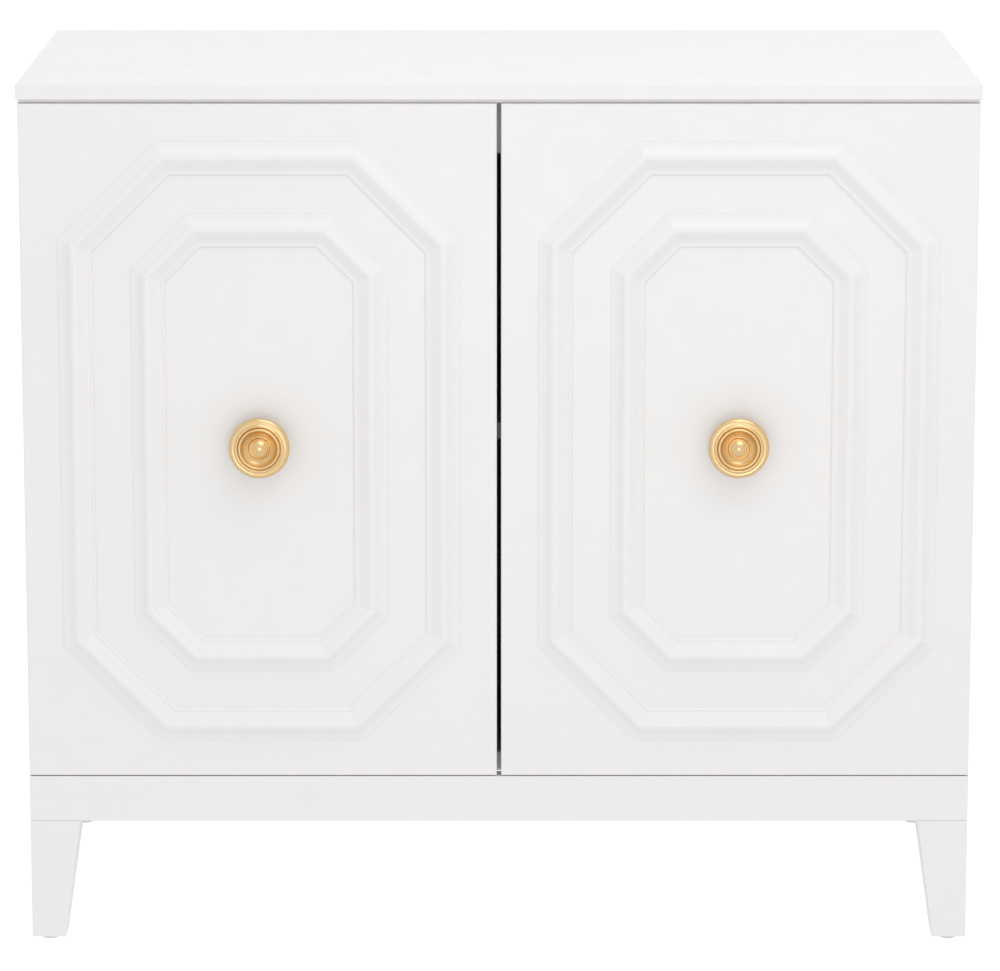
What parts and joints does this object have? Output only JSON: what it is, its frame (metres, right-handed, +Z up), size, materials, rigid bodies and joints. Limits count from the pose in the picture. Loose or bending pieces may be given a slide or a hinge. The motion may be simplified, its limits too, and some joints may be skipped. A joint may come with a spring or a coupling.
{
  "type": "two-door cabinet",
  "caption": "White lacquered two-door cabinet with octagonal raised door mouldings, round brass knobs, a thin top, an inner shelf and tapered legs.",
  "frame": {"origin": "on the floor, in the middle of the object's width and of its whole depth with the knobs", "axes": "+X to the right seen from the front, +Y towards the back, +Z up; the doors face -Y"},
  "size_m": [0.9, 0.479, 0.829],
  "materials": {
    "white_lacquer": "satin",
    "inner_white": "satin",
    "back_board": "matte",
    "bare_wood": "matte",
    "satin_brass": "satin",
    "nickelled_steel": "satin",
    "cast_zinc": "satin",
    "glide_plastic": "matte",
    "catch_plastic": "matte",
    "clear_rubber": "satin"
  },
  "bodies": {
    "cabinet": {"back_panel": "back_board", "back_panel_screws": "nickelled_steel", "base_screws": "nickelled_steel", "bottom_panel": "inner_white", "cam_bolts": "nickelled_steel", "cam_locks": "cast_zinc", "catch_screws": "nickelled_steel", "corner_blocks": "bare_wood", "foot_glides": "glide_plastic", "front_apron": "white_lacquer", "front_left_leg": "white_lacquer", "front_right_leg": "white_lacquer", "front_top_rail": "white_lacquer", "hinge_arm_screws": "nickelled_steel", "hinge_plate_screws": "nickelled_steel", "left_apron": "white_lacquer", "left_hinge_plates": "nickelled_steel", "left_magnetic_catch": "catch_plastic", "left_side_panel": "white_lacquer", "leg_bolts": "nickelled_steel", "lower_left_hinge_arm": "nickelled_steel", "lower_right_hinge_arm": "nickelled_steel", "rear_apron": "white_lacquer", "rear_left_leg": "white_lacquer", "rear_right_leg": "white_lacquer", "rear_top_rail": "inner_white", "right_apron": "white_lacquer", "right_hinge_plates": "nickelled_steel", "right_magnetic_catch": "catch_plastic", "right_side_panel": "white_lacquer", "shelf": "inner_white", "shelf_pins": "nickelled_steel", "top_packers": "white_lacquer", "top_panel": "white_lacquer", "upper_left_hinge_arm": "nickelled_steel", "upper_right_hinge_arm": "nickelled_steel", "wood_dowels": "bare_wood"},
    "left_door": {"left_cup_screws": "nickelled_steel", "left_door_bumpers": "clear_rubber", "left_door_panel": "white_lacquer", "left_hinge_cups": "nickelled_steel", "left_hinge_pins": "nickelled_steel", "left_inner_moulding": "white_lacquer", "left_knob": "satin_brass", "left_knob_screw": "nickelled_steel", "left_outer_moulding": "white_lacquer", "left_strike_plate": "nickelled_steel", "left_strike_screw": "nickelled_steel"},
    "right_door": {"right_cup_screws": "nickelled_steel", "right_door_bumpers": "clear_rubber", "right_door_panel": "white_lacquer", "right_hinge_cups": "nickelled_steel", "right_hinge_pins": "nickelled_steel", "right_inner_moulding": "white_lacquer", "right_knob": "satin_brass", "right_knob_screw": "nickelled_steel", "right_outer_moulding": "white_lacquer", "right_strike_plate": "nickelled_steel", "right_strike_screw": "nickelled_steel"}
  },
  "joints": [
    {"name": "left_door_hinge", "type": "hinge", "parent": "cabinet", "child": "left_door", "pos_m": [-0.441, -0.1985, 0.48765], "axis": [0, 0, -1], "range_deg": [0, 105]},
    {"name": "right_door_hinge", "type": "hinge", "parent": "cabinet", "child": "right_door", "pos_m": [0.441, -0.1985, 0.48765], "axis": [0, 0, 1], "range_deg": [0, 105]}
  ]
}
